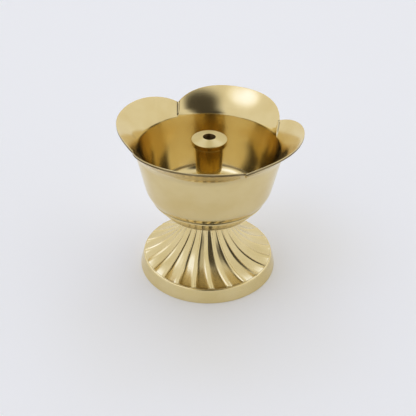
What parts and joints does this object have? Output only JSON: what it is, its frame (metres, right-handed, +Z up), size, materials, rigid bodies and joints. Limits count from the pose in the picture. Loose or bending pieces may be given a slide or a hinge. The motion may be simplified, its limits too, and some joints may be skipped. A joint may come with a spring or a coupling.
{
  "type": "oil lamp",
  "caption": "Footed brass oil lamp (diya) with a petal-rimmed oil bowl, a screwed central wick holder and a swept fluted pedestal; stands free on its foot ring.",
  "frame": {"origin": "centre of the foot ring on the table", "axes": "+Z up along the lamp's axis; the petals point along +X, +Y, -X and -Y"},
  "size_m": [0.061, 0.061, 0.055],
  "materials": {
    "cast_brass": "cast, fluted and polished to a soft shine",
    "turned_brass": "cast, turned and polished to a soft shine",
    "seal_leather": "oiled leather, cut edge",
    "bar_brass": "turned from bar, bright tool marks on the head"
  },
  "bodies": {
    "pedestal": {"pedestal": "cast_brass"},
    "bowl": {"bowl": "turned_brass"},
    "seal_washer": {"seal_washer": "seal_leather"},
    "wick_holder": {"wick_holder": "bar_brass"}
  },
  "joints": [
    {"name": "bowl_swivel", "type": "hinge", "parent": "pedestal", "child": "bowl", "pos_m": [0, 0, 0.0254], "axis": [0, 0, 1], "continuous": true},
    {"name": "holder_rise", "type": "slide", "parent": "pedestal", "child": "seal_washer", "axis": [0, 0, 1], "range_m": [0, 0.01016]},
    {"name": "holder_unscrew", "type": "hinge", "parent": "seal_washer", "child": "wick_holder", "pos_m": [0, 0, 0.0282], "axis": [0, 0, 1], "range_deg": [0, 2880]}
  ],
  "couplings": [
    {"joint": "holder_rise", "follows": "holder_unscrew", "m_per_rad": 0.00020213}
  ]
}
